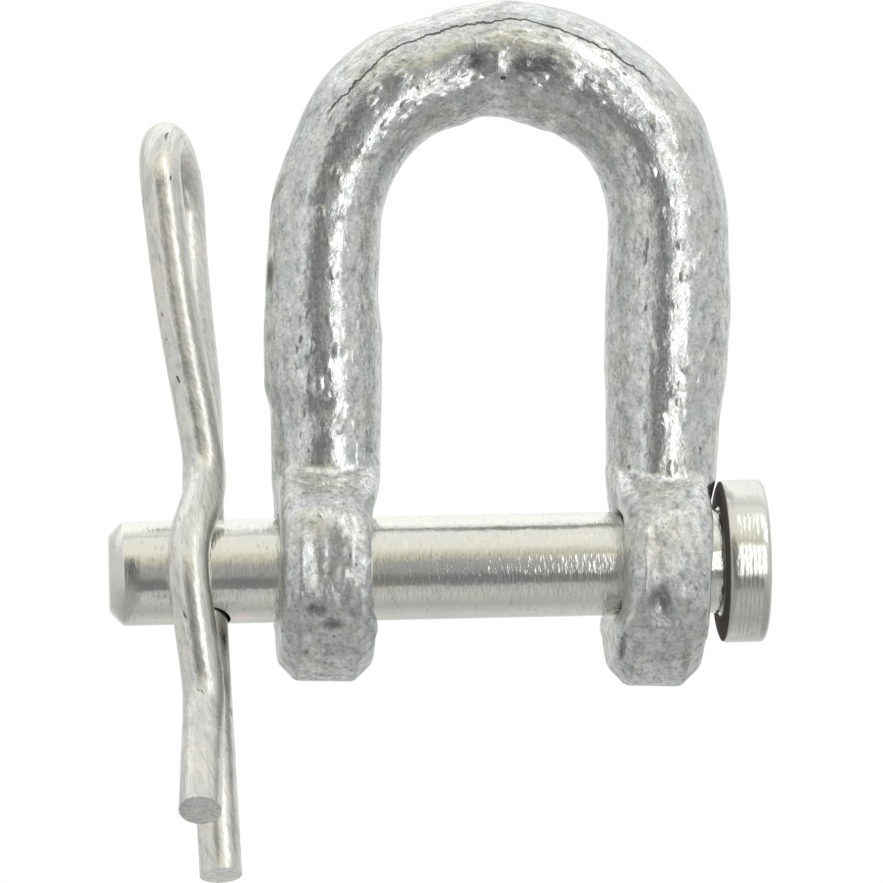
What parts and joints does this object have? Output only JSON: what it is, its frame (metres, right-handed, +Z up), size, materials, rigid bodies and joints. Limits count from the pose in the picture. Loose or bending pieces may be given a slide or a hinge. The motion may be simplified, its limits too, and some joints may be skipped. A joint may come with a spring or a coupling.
{
  "type": "d shackle",
  "caption": "Forged D shackle: a half-round bow with two drilled eyes, closed by a headed clevis pin and a spring clip through the pin.",
  "frame": {"origin": "on the pin's axis, midway between the two eyes of the bow", "axes": "+X along the pin towards its head, +Z up to the bow's crown, -Y towards the front, where the waved leg of the clip is"},
  "size_m": [0.063, 0.0393, 0.0835],
  "materials": {
    "galvanised_zinc": "hot-dip zinc, lumpy and semi-matt, mottled light grey",
    "plated_steel": "turned steel, zinc plated, satin with a warm cast",
    "spring_wire": "drawn spring wire, zinc plated, bright with small pits"
  },
  "bodies": {
    "bow": {"bow": "galvanised_zinc"},
    "pin": {"clevis_pin": "plated_steel"},
    "clip": {"clip_straight_leg": "spring_wire"},
    "clip_spring": {"clip_spring_leg": "spring_wire"}
  },
  "joints": [
    {"name": "pin_turn", "type": "hinge", "parent": "bow", "child": "pin", "pos_m": [0, 0, 0], "axis": [1, 0, 0], "continuous": true},
    {"name": "clip_withdraw", "type": "slide", "parent": "pin", "child": "clip", "axis": [-0.019, 0.4226, 0.9061], "range_m": [0, 0.036]},
    {"name": "clip_flex", "type": "hinge", "parent": "clip", "child": "clip_spring", "pos_m": [-0.02971, 0.01415, 0.04313], "axis": [-0.9657, 0.2269, -0.1261], "range_deg": [0, 8.5]}
  ],
  "couplings": [
    {"joint": "clip_flex", "follows": "clip_withdraw", "rad_per_m": 4.072}
  ]
}
